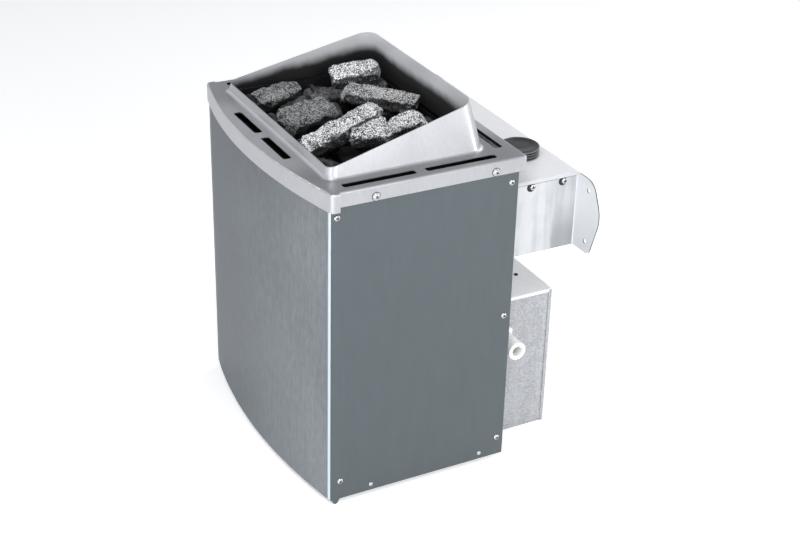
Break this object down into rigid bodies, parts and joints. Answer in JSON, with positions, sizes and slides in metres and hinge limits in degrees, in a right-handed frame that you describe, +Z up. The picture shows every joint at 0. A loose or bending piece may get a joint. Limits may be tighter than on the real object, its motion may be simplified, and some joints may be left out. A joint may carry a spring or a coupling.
{
  "type": "sauna heater",
  "caption": "Wall-hung electric sauna heater with curved steel front, slanted stone collar, wall bracket with water tank and evaporator box.",
  "frame": {"origin": "centre of the bounding box at floor level, under the foot tabs and the evaporator box", "axes": "+Z up, -Y towards the curved front, +Y towards the wall, +X to the right side panel, where the overflow pipe points"},
  "size_m": [0.476, 0.397, 0.522],
  "materials": {
    "frame_steel": "satin stainless steel, drawn sheet",
    "front_steel": "vertical brushed stainless steel",
    "side_steel": "brushed steel, blue grey",
    "galvanised": "galvanised sheet steel",
    "bright_steel": "bright annealed sheet steel",
    "black_steel": "heat-blackened sheet steel",
    "screw_steel": "zinc plated",
    "dark_screw": "blackened steel",
    "element_steel": "heat-darkened stainless tube",
    "grate_iron": "black",
    "brass": "plain",
    "ceramic": "unglazed",
    "stone": "split diorite, salt and pepper grain",
    "black_plastic": "matte",
    "white_plastic": "smooth",
    "rubber": "soft seal"
  },
  "bodies": {
    "heater": {"top_frame": "frame_steel", "frame_screws": "screw_steel", "front_panel": "front_steel", "side_panel_left": "side_steel", "side_panel_right": "side_steel", "side_panel_screws": "screw_steel", "panel_rivets": "screw_steel", "rear_panel": "galvanised", "base_tray": "galvanised", "chamber_support_left": "galvanised", "chamber_support_right": "galvanised", "stone_chamber": "black_steel", "stone_grate": "grate_iron", "heating_element_1": "element_steel", "heating_element_2": "element_steel", "heating_element_3": "element_steel", "element_plate": "galvanised", "element_nuts": "brass", "bus_bar": "brass", "terminal_block": "ceramic", "overheat_cutout": "ceramic", "heat_shield_front": "galvanised", "heat_shield_rear": "galvanised", "heat_shield_left": "galvanised", "heat_shield_right": "galvanised", "stones_lower": "stone", "stones_top": "stone", "bracket_left": "bright_steel", "bracket_right": "bright_steel", "bracket_cover": "bright_steel", "bracket_screws": "screw_steel", "water_tank": "galvanised", "filler_neck": "galvanised", "feed_pipe": "galvanised", "steam_duct": "galvanised", "evaporator_shell": "galvanised", "evaporator_lid": "galvanised", "evaporator_back": "galvanised", "evaporator_screws": "dark_screw", "evaporator_tank": "galvanised", "evaporator_element": "element_steel", "overflow_pipe": "white_plastic", "overflow_nut": "white_plastic", "cable_gland": "black_plastic", "gland_nut": "black_plastic"},
    "cap_seal": {"cap_seal": "rubber"},
    "filler_cap": {"filler_cap": "black_plastic"}
  },
  "joints": [
    {"name": "cap_rise", "type": "slide", "parent": "heater", "child": "cap_seal", "axis": [0, 0, 1], "range_m": [0, 0.0046]},
    {"name": "cap_turn", "type": "hinge", "parent": "cap_seal", "child": "filler_cap", "pos_m": [0.104, 0.154, 0.42], "axis": [0, 0, 1], "range_deg": [0, 540]}
  ],
  "couplings": [
    {"joint": "cap_rise", "follows": "cap_turn", "m_per_rad": 0.000477}
  ]
}
